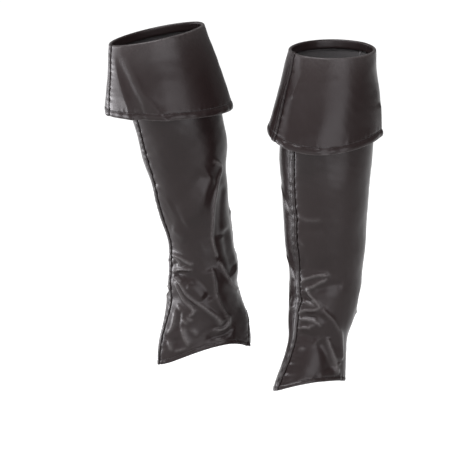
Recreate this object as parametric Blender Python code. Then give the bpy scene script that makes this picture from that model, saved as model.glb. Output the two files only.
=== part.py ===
"""A pair of turn-down boot covers in black leatherette, standing open as they are worn.

Metres, +Z up, -Y to the wearer's front and +X to the wearer's left. The origin lies midway
between the covers' two top folds, where the wearer's legs hold them up.
Each cover is a tube of two shaft panels, seamed in front and behind, that spreads over the
instep and is vented above the heel. Two flared cuff panels are folded over its top, and a
narrow strip is sewn beside the front seam of the shaft and of the cuff.
"""

import math
from collections import namedtuple

import bpy
import numpy as np

MM = 0.001

# The cloth and the sewing, in millimetres.
CLOTH = 1.4
SEAM_GAP = 0.3
FOLD_GAP = 0.6  # between the shaft's top edge and the cuff that is folded over it
STRIP_WIDTH = 9.5
STRIP_CLOTH = 1.2
STRIP_TOP = 34.0  # the shaft's strip starts this far down, where the cuff stands off the shaft
FACING = 14.0  # how far the cuff reaches down inside the shaft's top
ROLL = CLOTH + FOLD_GAP + CLOTH / 2  # radius of the cuff's fold over the shaft's top edge
CUFF_TURN_UP = 12.0  # height of the hem that is turned up and stitched
SHAFT_TURN_UP = 8.0
HEM_CLOTH = 0.9  # what a turned-up hem adds to the wall
HEM_STEP = 0.28  # share of the turned-up height over which the wall thickens

# A section across a leg: how far it lies below the top fold, its half width to each side, its
# reach from the centre to the front and to the back, how far the centre is moved forward, how
# far the front and the back seam stand out of the curve, and how far the leg has twisted there,
# in degrees to the wearer's left.
Section = namedtuple("Section", "drop side front back forward front_seam back_seam twist")

# The cuff's section at its hem, in the same measures.
Flare = namedtuple("Flare", "side front back forward front_seam back_seam")

# An edge that runs round a leg: its mean drop, how much lower it hangs towards one direction,
# and how much it sags at one direction and opposite it. Directions are degrees from the front.
Edge = namedtuple("Edge", "drop tilt tilt_at sag sag_at", defaults=(0, 0, 0, 0))

# The slit of the back seam: the drop of its top, and how far each edge swings away from the
# seam at the hem, in degrees. The edges part quickly at first: VENT_CURVE.
Vent = namedtuple("Vent", "top spread")
VENT_CURVE = 0.6

# A crease or a swell: three points that it runs through, each as an angle round the leg and a
# drop, its height, which is negative for a trough, and its reach to either side of its line.
Fold = namedtuple("Fold", "turn0 drop0 turn1 drop1 turn2 drop2 height reach")

# Its cuff's seams stand a few degrees round from the shaft's: cuff_turn.
Cover = namedtuple(
    "Cover", "name place yaw lean shaft cuff cuff_turn rim cuff_hem hem vent folds cuff_folds"
)

SEAM_SPREAD = 13.0  # degrees over which a seam's ridge fades into the curve
FOLD_STEPS = 14
FOLD_TAPER = 0.3  # share of a fold's length over which each end fades out

LEFT_SHAFT = (
    Section(0, 63, 65, 64, 0, 1, 1, 0),
    Section(60, 66, 67, 67, 5, 1, 1, 0),
    Section(150, 70, 70, 70, 13, 1, 1, 0),
    Section(225, 66, 65, 65, 15, 1, 1, 0),
    Section(300, 60, 59, 59, 14, 1, 1, 0),
    Section(340, 55, 55, 55, 13, 1, 1, 0),
    Section(370, 54, 54, 55, 16, 1, 1, 0),
    Section(412, 49, 50, 48, 23, 2, 1, 0),
    Section(435, 43, 49, 43, 27, 3, 1, 0),
    Section(460, 43, 57, 42, 29, 4, 1, 0),
    Section(480, 44, 67, 42, 31, 5, 1, 0),
    Section(500, 46, 78, 42, 33, 5, 1, 0),
    Section(516, 47, 84, 42, 34, 5, 1, 0),
)

RIGHT_SHAFT = (
    Section(0, 62, 78, 75, 2.5, 1, 1, 11),
    Section(60, 64, 73, 72, 0, 1, 1, 11),
    Section(137, 66, 69, 69, -3, 1, 2, 10),
    Section(191, 64, 66, 66, -3, 1, 3, 8),
    Section(227, 60, 59, 59, 0, 1, 4, 7),
    Section(258, 58, 56, 57, 2, 1, 4, 5),
    Section(286, 55, 53, 53, 3, 1, 5, 4),
    Section(321, 52, 49, 50, 3, 1, 5, 3),
    Section(355, 52, 51, 50, 5.5, 1, 5, 1),
    Section(392, 52, 55, 55, 11, 2, 4, 1),
    Section(412, 49, 54, 54, 15, 2, 3, 2),
    Section(430, 48, 62, 55, 15, 3, 2, 3),
    Section(446, 47, 73, 54, 13, 4, 2, 4),
    Section(468, 47, 86, 56, 12, 4, 2, 4),
    Section(500, 48, 97, 57, 12, 4, 2, 4),
    Section(524, 48, 99, 57, 12, 4, 2, 4),
)

LEFT_FOLDS = (
    # over the instep and the wearer's left side
    Fold(0, 320, 25, 328, 54, 325, -2.5, 9),
    Fold(2, 356, 14, 342, 50, 337, 4, 8),
    Fold(50, 341, 15, 360, 34, 381, 4, 6),
    Fold(22, 361, 60, 358, 100, 352, -2.5, 7),
    Fold(0, 371, 10, 369, 24, 372, -3, 6),
    Fold(36, 384, 20, 390, 0, 392, 3.5, 6),
    Fold(0, 404, 15, 402, 33, 408, 3, 6),
    Fold(34, 396, 64, 409, 80, 440, 4.5, 10),
    Fold(78, 430, 83, 450, 84, 478, 4, 9),
    Fold(0, 424, 22, 430, 46, 430, -3.5, 8),
    Fold(46, 434, 58, 455, 76, 484, 2.5, 7),
    Fold(38, 445, 46, 465, 60, 488, -3, 9),
    Fold(-3, 447, 6, 446, 18, 448, 2.5, 8),
    # the wearer's right side
    Fold(-3, 354, -22, 344, -50, 332, 4, 8),
    Fold(-3, 366, -20, 373, -44, 386, -4, 8),
    Fold(-3, 384, -22, 390, -48, 398, 4, 8),
    Fold(-55, 350, -85, 344, -112, 355, 3.5, 9),
    Fold(-50, 372, -82, 380, -118, 371, -3.5, 9),
    Fold(-55, 402, -90, 395, -125, 406, 3.5, 9),
    Fold(-30, 425, -60, 430, -85, 424, -3, 9),
    Fold(-70, 425, -95, 446, -104, 478, 4, 10),
    # behind
    Fold(118, 380, 150, 372, 182, 381, -3, 9),
    Fold(125, 398, 160, 404, 200, 394, 3, 9),
    Fold(140, 424, 172, 419, 205, 427, -3, 9),
)

RIGHT_FOLDS = (
    # down the calf and over the wearer's left side
    Fold(121, 220, 103, 260, 94, 300, 3.5, 7),
    Fold(95, 284, 90, 320, 98, 356, 3.5, 7),
    Fold(126, 248, 112, 285, 107, 330, -2.5, 9),
    Fold(122, 316, 123, 350, 134, 390, -4.5, 13),
    Fold(96, 354, 111, 380, 142, 414, 4, 7),
    Fold(40, 292, 68, 276, 104, 228, 3, 13),
    Fold(24, 264, 55, 250, 86, 216, -2, 12),
    Fold(14, 297, 28, 306, 44, 319, 1.5, 7),
    Fold(0, 342, 25, 350, 54, 366, 4, 6),
    Fold(4, 369, 28, 367, 60, 372, 2.5, 5),
    Fold(3, 377, 44, 380, 78, 404, -5, 9),
    Fold(4, 380, 35, 397, 56, 420, 4, 7),
    Fold(48, 414, 74, 432, 88, 466, 4, 7),
    Fold(6, 390, 28, 410, 51, 434, 3, 6),
    Fold(24, 440, 36, 462, 44, 488, 3, 7),
    Fold(14, 424, 14, 446, 7, 464, 3, 7),
    Fold(84, 358, 88, 402, 99, 450, 3, 10),
    Fold(68, 467, 84, 465, 99, 457, 3, 6),
    Fold(64, 477, 84, 475, 106, 466, -3, 7),
    # the wearer's right side
    Fold(-28, 400, -31, 462, -28, 560, 6, 16),
    Fold(-2, 350, -35, 357, -72, 348, 3.5, 8),
    Fold(-4, 372, -40, 378, -84, 386, -4, 9),
    Fold(-8, 391, -48, 402, -86, 428, 4, 8),
    Fold(-84, 420, -96, 445, -94, 476, 3.5, 9),
    Fold(-58, 436, -68, 460, -76, 490, -3, 9),
    Fold(-98, 338, -122, 364, -148, 402, 3.5, 9),
    Fold(-110, 240, -98, 280, -92, 325, 2.5, 9),
    # behind
    Fold(150, 298, 180, 305, 207, 297, 2.5, 10),
    Fold(164, 348, 186, 354, 215, 344, -3, 9),
)

LEFT_CUFF_FOLDS = (
    Fold(-13, 15, -13, 62, -8, 110, 2, 8),
    Fold(4, 35, 10, 88, 18, 175, -3, 9),
    Fold(28, 40, 32, 92, 38, 185, 2, 12),
    Fold(123, 80, 126, 120, 128, 175, 3, 10),
    Fold(-70, 30, -76, 80, -80, 160, 3, 14),
    Fold(-100, 25, -106, 80, -102, 165, -3, 14),
    Fold(180, 30, 177, 82, 186, 165, 3, 14),
    Fold(150, 35, 154, 80, 152, 160, -2.5, 10),
)

RIGHT_CUFF_FOLDS = (
    Fold(4, 30, 6, 70, 8, 130, 3, 9),
    Fold(8, 28, 17, 65, 27, 125, -3.5, 7),
    Fold(20, 26, 28, 62, 44, 120, 2.5, 8),
    Fold(72, 20, 64, 75, 58, 160, 1.5, 14),
    Fold(-48, 25, -54, 65, -50, 125, 3, 13),
    Fold(-78, 25, -82, 65, -78, 130, -3, 13),
    Fold(172, 30, 178, 80, 170, 165, 3, 14),
    Fold(204, 35, 208, 80, 202, 150, -2.5, 12),
)

LEFT = Cover(
    name="left",
    place=(96.5, 95.0, -10.5),
    yaw=14.0,
    lean=0.0,
    shaft=LEFT_SHAFT,
    cuff=Flare(79, 89, 86, 15, 1, 1),
    cuff_turn=-15.0,
    rim=Edge(2, 9, 44),
    cuff_hem=Edge(132, 15, 58, 6, 30),
    hem=Edge(500.5, 5, -15, 6.5, -38),
    vent=Vent(451, 40),
    folds=LEFT_FOLDS,
    cuff_folds=LEFT_CUFF_FOLDS,
)

RIGHT = Cover(
    name="right",
    place=(-96.5, -95.5, 10.5),
    yaw=-9.0,
    lean=12.6,
    shaft=RIGHT_SHAFT,
    cuff=Flare(85, 99, 95, 7, 1, 1),
    cuff_turn=-6.0,
    rim=Edge(4.5, -1.5, -20),
    cuff_hem=Edge(123, 18.5, 150),
    hem=Edge(502.5, 11, 170, 11, -5),
    vent=Vent(456, 48),
    folds=RIGHT_FOLDS,
    cuff_folds=RIGHT_CUFF_FOLDS,
)

# The mesh: columns of each panel beside the strip, and rows down to each share of its height.
PANEL_COLUMNS = 14
SHAFT_ROWS = ((0.27, 4), (0.55, 6), (1.0, 21))
CUFF_ROWS = ((1.0, 7),)
ROLL_ROWS = 4
LAST_PLAIN_ROW = 1.4  # the lowest of those rows, in turned-up heights above the hem's edge


def clear_scene():
    for obj in list(bpy.data.objects):
        bpy.data.objects.remove(obj)


def wrapped(turn):
    """The angle from the front seam, from -180 to 180 degrees, positive to the wearer's left."""
    return (turn + 180.0) % 360.0 - 180.0


def eased(share):
    share = np.clip(share, 0.0, 1.0)
    return share * share * (3.0 - 2.0 * share)


def columns_at(sections, drop):
    """The sections' columns after the first at each drop, on smooth curves through the rows."""
    table = np.array(sections, float)
    knots, values = table[:, 0], table[:, 1:]
    slopes = np.gradient(values, knots, axis=0)
    drop = np.clip(drop, knots[0], knots[-1])
    i = np.clip(np.searchsorted(knots, drop) - 1, 0, len(knots) - 2)
    span = knots[i + 1] - knots[i]
    t = ((drop - knots[i]) / span)[..., None]
    span = span[..., None]
    return np.moveaxis(
        values[i] * (1 + 2 * t) * (1 - t) ** 2
        + slopes[i] * span * t * (1 - t) ** 2
        + values[i + 1] * t * t * (3 - 2 * t)
        + slopes[i + 1] * span * t * t * (t - 1),
        -1,
        0,
    )


def edge_drop(edge, turn):
    """How far below the top fold's level an edge lies at each angle."""
    return (
        edge.drop
        + edge.tilt * np.cos(np.radians(turn - edge.tilt_at))
        + edge.sag * np.cos(np.radians(2 * (turn - edge.sag_at)))
    )


def fold_height(folds, turn, drop, radius):
    """How far the folds push the cloth out at each point, in millimetres."""
    push = np.zeros(np.broadcast(turn, drop).shape)
    t = np.linspace(0.0, 1.0, FOLD_STEPS + 1)
    first, middle, last = (2 * t - 1) * (t - 1), 4 * t * (1 - t), t * (2 * t - 1)
    for fold in folds:
        path_turn = fold.turn0 * first + fold.turn1 * middle + fold.turn2 * last
        path_drop = fold.drop0 * first + fold.drop1 * middle + fold.drop2 * last
        nearest = np.full(push.shape, np.inf)
        along = np.zeros(push.shape)
        for k in range(FOLD_STEPS):
            across = np.radians(wrapped(turn - path_turn[k])) * radius
            down = drop - path_drop[k]
            step_across = np.radians(path_turn[k + 1] - path_turn[k]) * radius
            step_down = path_drop[k + 1] - path_drop[k]
            length = np.hypot(step_across, step_down)
            share = np.clip((across * step_across + down * step_down) / length**2, 0.0, 1.0)
            away = np.hypot(across - share * step_across, down - share * step_down)
            along = np.where(away < nearest, (k + share) / FOLD_STEPS, along)
            nearest = np.minimum(nearest, away)
        taper = eased(along / FOLD_TAPER) * eased((1 - along) / FOLD_TAPER)
        push += fold.height * taper * np.exp(-((nearest / fold.reach) ** 2))
    return push


def around(section, turn, drop, out):
    """The points of a level section at each angle, moved out and not yet twisted, in metres."""
    side, front, back, forward, front_seam, back_seam = section[:6]
    angle = np.radians(turn)
    from_front = np.abs(wrapped(turn))
    depth = np.where(from_front < 90.0, front, back)
    out = out + front_seam * np.exp(-((from_front / SEAM_SPREAD) ** 2))
    out = out + back_seam * np.exp(-(((180.0 - from_front) / SEAM_SPREAD) ** 2))
    x = (side + out) * np.sin(angle)
    y = -(depth + out) * np.cos(angle) - forward
    return np.stack([x, y, -drop + 0.0 * x], axis=-1) * MM


def shaft_points(cover, turn, drop):
    """Points of the shaft's outer face, in the cover's own frame."""
    section = columns_at(cover.shaft, drop)
    return around(section, turn, drop, fold_height(cover.folds, turn, drop, section[0]))


def fold_over_points(cover, turn, swing):
    """Points of the cuff where it folds over the shaft's edge, from inside at 0 to outside at
    180 degrees."""
    level = edge_drop(cover.rim, turn) + ROLL
    out = -CLOTH / 2 - ROLL * math.cos(math.radians(swing))
    drop = level - ROLL * math.sin(math.radians(swing))
    return around(columns_at(cover.shaft, level), turn, drop, out)


def facing_points(cover, turn):
    """Points of the cuff's edge inside the shaft."""
    level = edge_drop(cover.rim, turn) + FACING
    return around(columns_at(cover.shaft, level), turn, level, -CLOTH / 2 - ROLL)


def cuff_points(cover, turn, share):
    """Points of the turned-down cuff's outer face, from its fold at share 0 to its hem at 1."""
    level = edge_drop(cover.rim, turn) + ROLL
    drop = level + share * (edge_drop(cover.cuff_hem, turn) - level)
    start = columns_at(cover.shaft, level)[:6]
    start[:3] += ROLL - CLOTH / 2
    end = np.array(cover.cuff, float)[:, None]
    section = start + share * (end - start)
    push = share * fold_height(cover.cuff_folds, turn, drop, section[0])
    return around(section, turn, drop, push)


def twisted(cover, grid):
    """The grid turned about the leg's axis by the twist at each height."""
    twist = np.radians(columns_at(cover.shaft, -grid[..., 2] / MM)[6])
    x = grid[..., 0] * np.cos(twist) - grid[..., 1] * np.sin(twist)
    y = grid[..., 0] * np.sin(twist) + grid[..., 1] * np.cos(twist)
    return np.stack([x, y, grid[..., 2]], axis=-1)


def panel_turns(cover, side_sign, drop):
    """The angles of a panel's columns in the row at a drop: the front seam, the edge of the
    strip, then even steps to the back seam or the vent."""
    side = float(columns_at(cover.shaft, drop)[0])
    seam = math.degrees(SEAM_GAP / 2 / side)
    strip = math.degrees(STRIP_WIDTH / side)
    open_share = max(0.0, (drop - cover.vent.top) / (cover.hem.drop - cover.vent.top))
    last = 180.0 - seam - cover.vent.spread * open_share**VENT_CURVE
    return side_sign * np.concatenate([[seam], np.linspace(strip, last, PANEL_COLUMNS + 1)])


def row_shares(table, turn_up):
    """The rows' shares of the height, with two more where the hem is turned up."""
    shares, low = [0.0], 0.0
    for high, rows in table:
        shares += [low + (high - low) * (i + 1) / rows for i in range(rows)]
        low = high
    kept = [share for share in shares if share < 1.0 - LAST_PLAIN_ROW * turn_up]
    return kept + [1.0 - turn_up, 1.0 - (1.0 - HEM_STEP) * turn_up, 1.0]


def shaft_rows(cover):
    return row_shares(SHAFT_ROWS, SHAFT_TURN_UP / cover.hem.drop)


def shaft_panel(cover, side_sign):
    """The outer points of a shaft panel, as rows from the top edge to the hem."""
    rows = []
    for share in shaft_rows(cover):
        turns = panel_turns(cover, side_sign, share * cover.hem.drop)
        top = edge_drop(cover.rim, turns) + ROLL
        rows.append(shaft_points(cover, turns, top + share * (edge_drop(cover.hem, turns) - top)))
    return np.array(rows)


def cuff_panel(cover, side_sign):
    """The outer points of a cuff panel, as rows from inside the shaft, over its edge and down."""
    turns = panel_turns(cover, side_sign, 0.0) + cover.cuff_turn
    rows = [facing_points(cover, turns)]
    rows += [fold_over_points(cover, turns, 180.0 * i / ROLL_ROWS) for i in range(ROLL_ROWS)]
    shares = row_shares(CUFF_ROWS, CUFF_TURN_UP / cover.cuff_hem.drop)
    rows += [cuff_points(cover, turns, share) for share in shares]
    return np.array(rows)


def unit(vectors):
    return vectors / np.linalg.norm(vectors, axis=-1, keepdims=True)


def normals(grids):
    """Outward normals of the two panels' grids. Where the panels are sewn together they share
    a normal that stands square to the gap, so that the gap is as wide inside as outside."""
    result = {}
    for side_sign, grid in grids.items():
        down, across = np.gradient(grid, axis=0), np.gradient(grid, axis=1)
        result[side_sign] = unit(np.cross(down, across) * side_sign)
    for end in (0, -1):
        gap = grids[1][:, end] - grids[-1][:, end]
        width = np.linalg.norm(gap, axis=1, keepdims=True)
        shared = result[1][:, end] + result[-1][:, end]
        shared = unit(shared - np.sum(shared * gap, axis=1, keepdims=True) / width**2 * gap)
        for normal in result.values():
            normal[:, end] = np.where(width < 2 * SEAM_GAP * MM, shared, normal[:, end])
    return result


def thickened_hem(grid, normal):
    """The grid with its last two rows moved out by the turned-up cloth."""
    grid = grid.copy()
    grid[-2:] += normal[-2:] * HEM_CLOTH * MM
    return grid


def wall(cover, name, outer, inner, side_sign, holder, material):
    """A named solid between two grids of points, with its edges closed."""
    name = cover.name + "_" + name
    outer, inner = twisted(cover, outer), twisted(cover, inner)
    rows, columns = outer.shape[:2]
    count = rows * columns
    faces = []
    for i in range(rows - 1):
        for j in range(columns - 1):
            a, b = i * columns + j, (i + 1) * columns + j
            faces.append((a, b, b + 1, a + 1))
            faces.append((count + a, count + a + 1, count + b + 1, count + b))
    walls = len(faces)
    border = list(range(columns))
    border += [i * columns + columns - 1 for i in range(1, rows)]
    border += [(rows - 1) * columns + j for j in range(columns - 2, -1, -1)]
    border += [i * columns for i in range(rows - 2, 0, -1)]
    for a, b in zip(border, border[1:] + border[:1]):
        faces.append((a, b, count + b, count + a))
    if side_sign < 0:
        faces = [face[::-1] for face in faces]
    mesh = bpy.data.meshes.new(name)
    points = np.concatenate([outer.reshape(-1, 3), inner.reshape(-1, 3)])
    mesh.from_pydata(points.tolist(), [], faces)
    mesh.polygons.foreach_set("use_smooth", [k < walls for k in range(len(faces))])
    mesh.materials.append(material)
    obj = bpy.data.objects.new(name, mesh)
    obj.parent = holder
    return obj


def leatherette(name, colour, roughness):
    material = bpy.data.materials.new(name)
    material.use_nodes = True
    shader = material.node_tree.nodes["Principled BSDF"]
    shader.inputs["Base Color"].default_value = (*colour, 1.0)
    shader.inputs["Roughness"].default_value = roughness
    shader.inputs["Metallic"].default_value = 0.0
    return material


def build_cover(cover, collection, panel_look, strip_look):
    holder = bpy.data.objects.new(cover.name + "_cover", None)
    holder.location = [value * MM for value in cover.place]
    holder.rotation_euler = (math.radians(cover.lean), 0.0, math.radians(cover.yaw))
    names = {"left": ("outer", "inner"), "right": ("inner", "outer")}[cover.name]
    rows_above_strip = sum(share * cover.hem.drop < STRIP_TOP for share in shaft_rows(cover))
    strip_rows = {"shaft": slice(rows_above_strip, None), "cuff": slice(1 + ROLL_ROWS // 2, None)}
    pieces = [holder]
    for part, panel in (("shaft", shaft_panel), ("cuff", cuff_panel)):
        grids = {side_sign: panel(cover, side_sign) for side_sign in (1, -1)}
        all_normals = normals(grids)
        for side_sign, side in zip((1, -1), names):
            normal = all_normals[side_sign]
            inner = grids[side_sign] - normal * CLOTH * MM
            outer = thickened_hem(grids[side_sign], normal)
            pieces.append(wall(cover, f"{part}_{side}", outer, inner, side_sign, holder, panel_look))
        rows = strip_rows[part]
        base = outer[rows, :2] + normal[rows, :2] * SEAM_GAP * MM
        top = base + normal[rows, :2] * STRIP_CLOTH * MM
        pieces.append(wall(cover, f"{part}_strip", top, base, -1, holder, strip_look))
    for piece in pieces:
        collection.objects.link(piece)


def main():
    clear_scene()
    collection = bpy.data.collections.new("boot_covers")
    bpy.context.scene.collection.children.link(collection)
    panel_look = leatherette("leatherette", (0.022, 0.019, 0.019), 0.42)
    strip_look = leatherette("seam_strip", (0.020, 0.017, 0.017), 0.40)
    for cover in (LEFT, RIGHT):
        build_cover(cover, collection, panel_look, strip_look)


main()
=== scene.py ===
"""The looks of a pair of turn-down boot covers in black leatherette, open as they are worn.

Each panel is a thin shell on the form of its solid, in the cloth's real thickness, with the
creases of worn leatherette, rolled seams, turned-up hems and real stitches. Angles round a leg
are degrees from its front seam, positive to the wearer's left, and a drop is the distance below
a cover's top fold, in millimetres.
"""

import math
from collections import namedtuple

import bpy
import numpy as np
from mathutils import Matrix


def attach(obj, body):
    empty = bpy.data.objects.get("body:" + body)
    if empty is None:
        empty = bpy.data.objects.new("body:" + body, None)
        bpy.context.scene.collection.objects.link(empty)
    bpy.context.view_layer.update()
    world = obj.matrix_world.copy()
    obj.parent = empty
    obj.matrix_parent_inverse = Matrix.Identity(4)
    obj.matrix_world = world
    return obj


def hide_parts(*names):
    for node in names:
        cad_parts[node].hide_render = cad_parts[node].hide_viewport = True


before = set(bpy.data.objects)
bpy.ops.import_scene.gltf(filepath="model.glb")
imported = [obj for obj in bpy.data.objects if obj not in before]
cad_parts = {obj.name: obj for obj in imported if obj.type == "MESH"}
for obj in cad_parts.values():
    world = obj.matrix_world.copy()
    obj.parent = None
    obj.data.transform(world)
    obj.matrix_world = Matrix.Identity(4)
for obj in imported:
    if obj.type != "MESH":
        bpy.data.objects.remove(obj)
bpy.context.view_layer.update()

MM = 0.001

# The cloth and the sewing, in millimetres.
CLOTH = 1.1
HEM_LAYER = 0.8  # what a turned-up hem adds on the inside
LAYER_END = 1.5  # the width over which that layer runs out
LAYER_SHOWS = 0.3  # the share of it from which the cloth's face shows inside, not its back
SEAM_GAP = 0.04
SOLID_CLOTH = 1.4  # the solids' wall, which the cuff's fold is made round
FOLD_GAP = 0.6
ROLL = SOLID_CLOTH * 1.5 + FOLD_GAP
FACING = 14.0
SHAFT_TURN_UP = 8.0
CUFF_TURN_UP = 12.0
VENT_TURN_UP = 7.0
SEAM_ALLOWANCE = 7.0
EDGE_ROUND = 0.85  # how much of a full round an edge has

# The strip beside the front seam.
STRIP_WIDTH = 9.5
STRIP_CLOTH = 1.2
STRIP_TOP = 34.0
STRIP_FACE = 0.2 + STRIP_CLOTH  # its face above the panel's
STRIP_UNDER = 0.15  # its underside above the panel's face
STRIP_GROOVE, STRIP_GROOVE_REACH = 0.35, 0.5
STRIP_SWELL = 0.3

# The stitches, and how far their thread stands off the panel's face.
STITCH_PITCH = 3.3
STITCH_THREAD = 0.27  # the thread's radius
STITCH_INSET = 1.5  # from the strip's edge, or from the end of a turned-up hem
HEM_STITCH_RISE = 0.1
STRIP_STITCH_RISE = STRIP_CLOTH + 0.05

# Relief in the panels' faces at hems and seams, in millimetres.
HEM_GROOVE, HEM_GROOVE_REACH = 0.55, 0.9
HEM_SWELL, CUFF_HEM_SWELL = 0.55, 1.2
HEM_PUCKER_REACH = 4.0
FRONT_SEAM_DEPTH = 0.9  # less than the cloth, so that nothing shows through
BACK_SEAM_DEPTH = 1.3
SEAM_ROLL = 1.5
SEAM_PUCKER_REACH = 5.0
SEAM_SPREAD = 13.0  # degrees to either side of a seam

# Unevenness: its height, and its longest and shortest waves, in millimetres.
Uneven = namedtuple("Uneven", "height long short")
SHAFT_SWELLS = Uneven(0.45, 130, 50)
CUFF_SWELLS = Uneven(0.8, 150, 60)
SMALL_SWELLS = Uneven(0.06, 22, 11)
HEM_GATHERS = Uneven(0.35, 30, 8)
HEM_PUCKERS = Uneven(0.3, 22, 7)
SEAM_PUCKERS = Uneven(0.45, 19, 7)
STRIP_PUCKERS = Uneven(0.18, 16, 6)
STRIP_WANDER = Uneven(0.35, 46, 18)
SWELL_COUNT, RIPPLE_COUNT = 10, 6
LEG_RADIUS = 60.0  # the usual one, by which swells and columns are counted
VENT_SHIFT = 400.0  # sets the gathers on the vent's two sides apart

# How far edges are rubbed, from 0 to 1, and over what distance, in millimetres. The top fold's
# place and reach are shares of the way over it.
EDGE_WEAR = 0.7
STRIP_WEAR = 0.15
EDGE_WEAR_REACH = 1.1
TOP_WEAR_PLACE, TOP_WEAR_REACH = 0.7, 0.35

# Creases and swells, in millimetres.
FOLD_END = 9.0  # the length over which a fold runs out at each end
CREST_SHARE = 0.2  # of a ridge's height that is a narrow crest
CREST_REACH = 2.1
# The crests of narrow ridges are painted paler: partly rubbed cloth, partly a painted highlight.
CREST_WEAR_AND_HIGHLIGHT_REACH = 2.4
SHARP_REACH = 4.0  # a ridge this narrow or narrower is painted paler along its crest in full, as rubbed cloth and as a painted highlight
BROAD_REACH = 9.0  # a swell this broad has no crest, and no paler crest line of rubbing or painted highlight
FULL_WEAR_AND_HIGHLIGHT_HEIGHT = 2.6

# The mesh: the spacing of its points, in millimetres, and the finer rows at an edge.
COLUMN_STEP = 1.45
CUFF_STEP = 2.2
STRIP_STEP, STRIP_COLUMN = 1.6, 0.9
SHAFT_STEPS = ((130.0, 6.0), (320.0, 3.0), (1000.0, 1.2))  # down to each drop
EDGE_STEPS = (0.0, 0.12, 0.35, 0.7, 1.2, 2.0, 3.2)
STRIP_EDGE = np.array(EDGE_STEPS[:5])
HEM_BLEND = 60.0  # the height above the hem over which the rows come to follow it

Flare = namedtuple("Flare", "side front back forward front_seam back_seam")
Edge = namedtuple("Edge", "drop tilt tilt_at sag sag_at", defaults=(0, 0, 0, 0))
Vent = namedtuple("Vent", "top spread")

# A sideways kink of the front seam: its drop, its shift in degrees to the wearer's left, its reach.
Kink = namedtuple("Kink", "drop shift reach")
KINK_SPREAD = 22.0  # degrees to either side of the seam
VENT_CURVE = 0.6

# A crease or a swell: its height, which is negative for a trough, its reach to either side, its
# course, as angles round the leg and drops, and how much steeper it is on the right of that.
# The tables below hold these in the same order.
Fold = namedtuple("Fold", "height reach course steep", defaults=(0,))

Cover = namedtuple(
    "Cover",
    "name place yaw lean shaft cuff cuff_turn rim cuff_hem hem vent folds cuff_folds kinks seed",
)

# Level sections down a shaft. Each row holds its drop, its half widths to the side, in front and
# behind, its shift forward, how far the front and the back seam stand out, and its twist.
LEFT_SHAFT = (
    (0, 63, 65, 64, 0, 1, 1, 0),
    (60, 66, 67, 67, 5, 1, 1, 0),
    (150, 70, 70, 70, 13, 1, 1, 0),
    (225, 66, 65, 65, 15, 1, 1, 0),
    (300, 60, 59, 59, 14, 1, 1, 0),
    (340, 55, 55, 55, 13, 1, 1, 0),
    (370, 54, 54, 55, 16, 1, 1, 0),
    (412, 49, 50, 48, 23, 2, 1, 0),
    (435, 43, 49, 43, 27, 3, 1, 0),
    (460, 43, 57, 42, 29, 4, 1, 0),
    (480, 44, 67, 42, 31, 5, 1, 0),
    (500, 46, 78, 42, 33, 5, 1, 0),
    (516, 47, 84, 42, 34, 5, 1, 0),
)

RIGHT_SHAFT = (
    (0, 62, 78, 75, 2.5, 1, 1, 11),
    (60, 64, 73, 72, 0, 1, 1, 11),
    (137, 66, 69, 69, -3, 1, 2, 10),
    (191, 64, 66, 66, -3, 1, 3, 8),
    (227, 60, 59, 59, 0, 1, 4, 7),
    (258, 58, 56, 57, 2, 1, 4, 5),
    (286, 55, 53, 53, 3, 1, 5, 4),
    (321, 52, 49, 50, 3, 1, 5, 3),
    (355, 52, 51, 50, 5.5, 1, 5, 1),
    (392, 52, 55, 55, 11, 2, 4, 1),
    (412, 49, 54, 54, 15, 2, 3, 2),
    (430, 48, 62, 55, 15, 3, 2, 3),
    (446, 47, 73, 54, 13, 4, 2, 4),
    (468, 47, 86, 56, 12, 4, 2, 4),
    (500, 48, 97, 57, 12, 4, 2, 4),
    (524, 48, 99, 57, 12, 4, 2, 4),
)

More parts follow.
